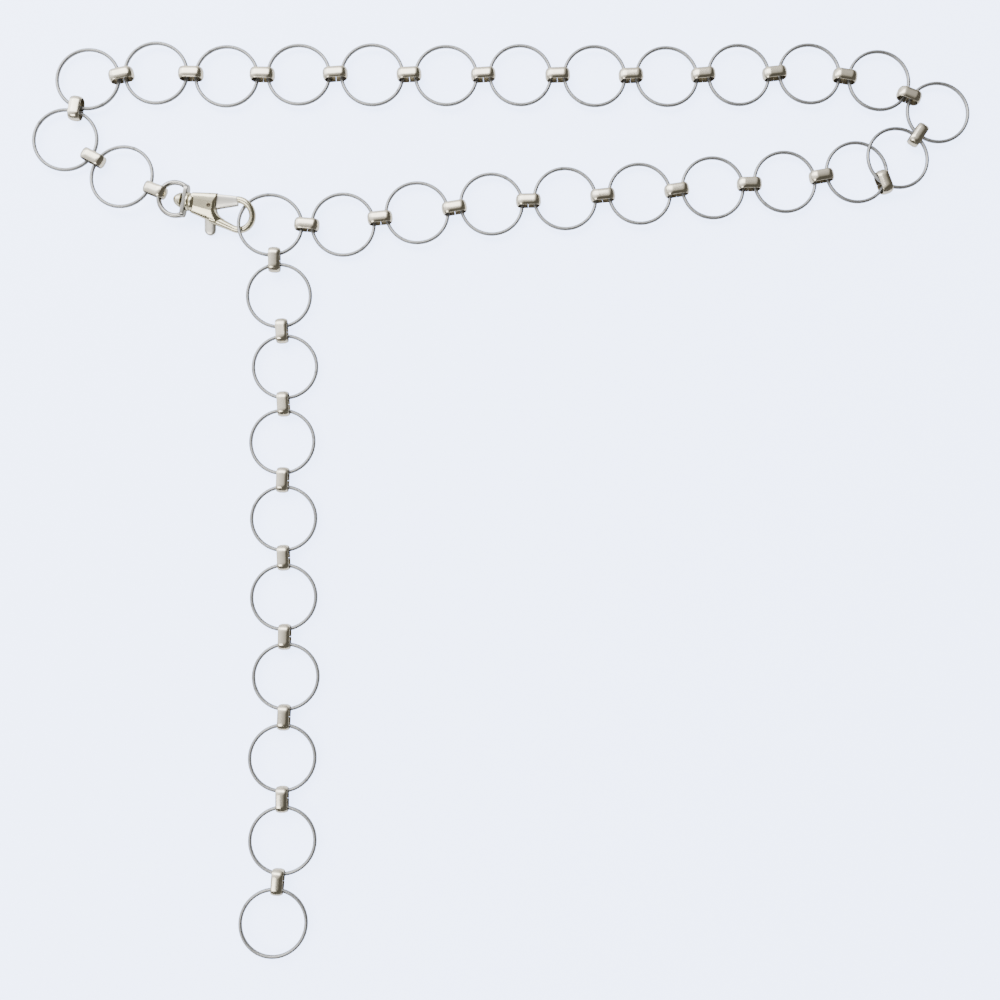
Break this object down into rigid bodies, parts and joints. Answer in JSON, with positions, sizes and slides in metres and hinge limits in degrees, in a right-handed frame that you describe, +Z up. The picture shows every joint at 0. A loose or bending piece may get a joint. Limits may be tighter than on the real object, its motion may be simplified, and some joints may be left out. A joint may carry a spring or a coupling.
{
  "type": "waist chain",
  "caption": "Flat chain belt of round wire rings joined by domed oval bands, closed by a swivel trigger clasp that holds one ring and leaves a tail hanging.",
  "frame": {"origin": "under the middle of the whole chain as it lies, on the surface that it lies on", "axes": "+X to the right along the row of rings, +Y away from the hanging tail, +Z up from the surface"},
  "size_m": [0.3622, 0.3457, 0.0083],
  "materials": {
    "ring_wire": "satin plated wire",
    "band_metal": "polished, slightly warm plating",
    "eye_wire": "polished plated wire",
    "clasp_metal": "polished, warm plated casting",
    "lever_metal": "polished plated casting",
    "pin_metal": "dull steel rivet"
  },
  "bodies": {
    "chain": {"ring_01": "ring_wire", "ring_02": "ring_wire", "ring_03": "ring_wire", "ring_04": "ring_wire", "ring_05": "ring_wire", "ring_06": "ring_wire", "ring_07": "ring_wire", "ring_08": "ring_wire", "ring_09": "ring_wire", "ring_10": "ring_wire", "ring_11": "ring_wire", "ring_12": "ring_wire", "ring_13": "ring_wire", "ring_14": "ring_wire", "ring_15": "ring_wire", "ring_16": "ring_wire", "ring_17": "ring_wire", "ring_18": "ring_wire", "ring_19": "ring_wire", "ring_20": "ring_wire", "ring_21": "ring_wire", "ring_22": "ring_wire", "ring_23": "ring_wire", "ring_24": "ring_wire", "ring_25": "ring_wire", "ring_26": "ring_wire", "ring_27": "ring_wire", "ring_28": "ring_wire", "ring_29": "ring_wire", "ring_30": "ring_wire", "ring_31": "ring_wire", "ring_32": "ring_wire", "ring_33": "ring_wire", "ring_34": "ring_wire", "waist_bands": "band_metal", "tail_bands": "band_metal", "clasp_band": "band_metal", "swivel_eye": "eye_wire"},
    "hook_body": {"hook": "clasp_metal", "pivot_pin": "pin_metal"},
    "lever_body": {"trigger_lever": "lever_metal"}
  },
  "joints": [
    {"name": "clasp_swivel", "type": "hinge", "parent": "chain", "child": "hook_body", "pos_m": [-0.12201, 0.10577, 0.00475], "axis": [0.9816, -0.1908, 0], "range_deg": [0, 90]},
    {"name": "lever_pivot", "type": "hinge", "parent": "hook_body", "child": "lever_body", "pos_m": [-0.11231, 0.10427, 0.0049], "axis": [0.0684, 0.3518, -0.9336], "range_deg": [0, 22], "stiffness_Nm_per_rad": 0.02, "springref_deg": -17.19}
  ]
}
